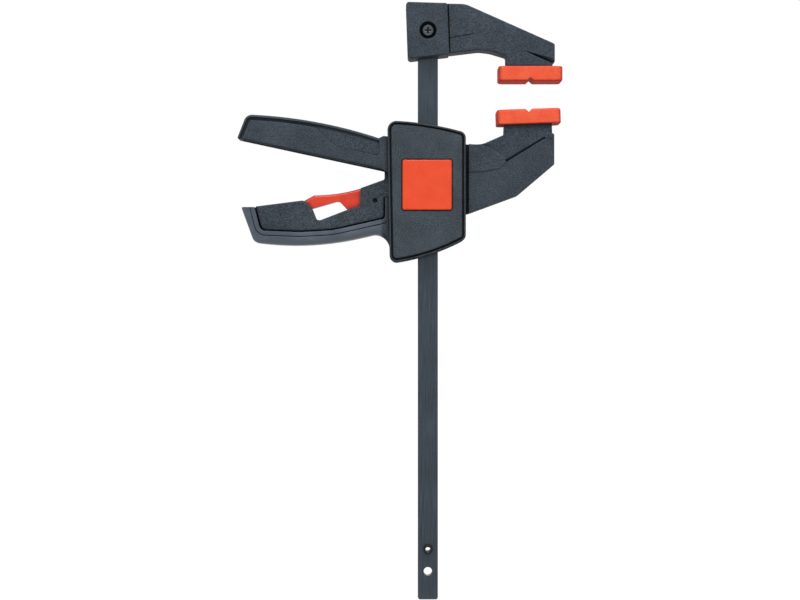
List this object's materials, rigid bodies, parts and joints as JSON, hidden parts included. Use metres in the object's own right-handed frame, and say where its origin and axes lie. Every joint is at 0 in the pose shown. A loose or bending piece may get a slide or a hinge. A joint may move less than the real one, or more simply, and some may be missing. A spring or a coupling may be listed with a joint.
{
  "type": "quick release bar clamp",
  "caption": "One-handed bar clamp: a fixed jaw on a flat steel bar and a trigger-driven sliding jaw with grooved pads and a release lever.",
  "frame": {"origin": "middle of the fixed pad's clamping face", "axes": "+X from the bar towards the pads and beyond, +Y from the badge side to the back, +Z along the bar towards the fixed jaw; the jaws close along Z"},
  "size_m": [0.1614, 0.0245, 0.2973],
  "materials": {
    "bar_steel": "dark drawn steel, satin",
    "jaw_plastic": "charcoal glass-filled plastic, fine grain",
    "trigger_plastic": "charcoal glass-filled plastic, fine grain",
    "inlay_plastic": "charcoal plastic, fine grain",
    "pad_rubber": "orange-red soft plastic, matt",
    "red_plastic": "orange-red plastic, satin",
    "screw_steel": "steel with a black oxide finish",
    "pin_steel": "hardened steel",
    "plate_steel": "hardened steel plate",
    "spring_steel": "spring wire"
  },
  "bodies": {
    "bar_assembly": {"bar": "bar_steel", "fixed_jaw": "jaw_plastic", "fixed_jaw_screw": "screw_steel", "fixed_jaw_nut": "screw_steel", "fixed_pad": "pad_rubber", "stop_pin": "pin_steel"},
    "moving_jaw": {"jaw_body": "jaw_plastic", "front_cover": "jaw_plastic", "rear_cover": "jaw_plastic", "badge_plate": "red_plastic", "moving_pad": "pad_rubber", "handle_insert": "inlay_plastic", "cover_screws": "screw_steel", "trigger_pivot_pin": "pin_steel", "release_pivot_pin": "pin_steel", "drive_spring": "spring_steel", "brake_spring": "spring_steel"},
    "trigger": {"trigger": "trigger_plastic"},
    "release_lever": {"release_lever": "red_plastic"},
    "drive_plate": {"drive_plate": "plate_steel"},
    "brake_plate": {"brake_plate": "plate_steel"}
  },
  "joints": [
    {"name": "jaw_slide", "type": "slide", "parent": "bar_assembly", "child": "moving_jaw", "axis": [0, 0, 1], "range_m": [-0.1434, 0.013]},
    {"name": "trigger_pivot", "type": "hinge", "parent": "moving_jaw", "child": "trigger", "pos_m": [-0.0386, 0, -0.0477], "axis": [0, -1, 0], "range_deg": [0, 16], "stiffness_Nm_per_rad": 0.2, "springref_deg": -8.59},
    {"name": "drive_stroke", "type": "slide", "parent": "moving_jaw", "child": "drive_plate", "axis": [0, 0, -1], "range_m": [0, 0.0058], "deforming": ["drive_spring"]},
    {"name": "release_pivot", "type": "hinge", "parent": "moving_jaw", "child": "release_lever", "pos_m": [-0.0772, 0, -0.0591], "axis": [0, -1, 0], "range_deg": [0, 5.4], "stiffness_Nm_per_rad": 0.08, "springref_deg": -8.59},
    {"name": "brake_tilt", "type": "hinge", "parent": "moving_jaw", "child": "brake_plate", "pos_m": [-0.0599, 0, -0.0676], "axis": [0, -1, 0], "range_deg": [-9, 0], "deforming": ["brake_spring"]}
  ],
  "couplings": [
    {"joint": "drive_stroke", "follows": "trigger_pivot", "m_per_rad": 0.020433},
    {"joint": "brake_tilt", "follows": "release_pivot", "ratio": -1.6666}
  ]
}
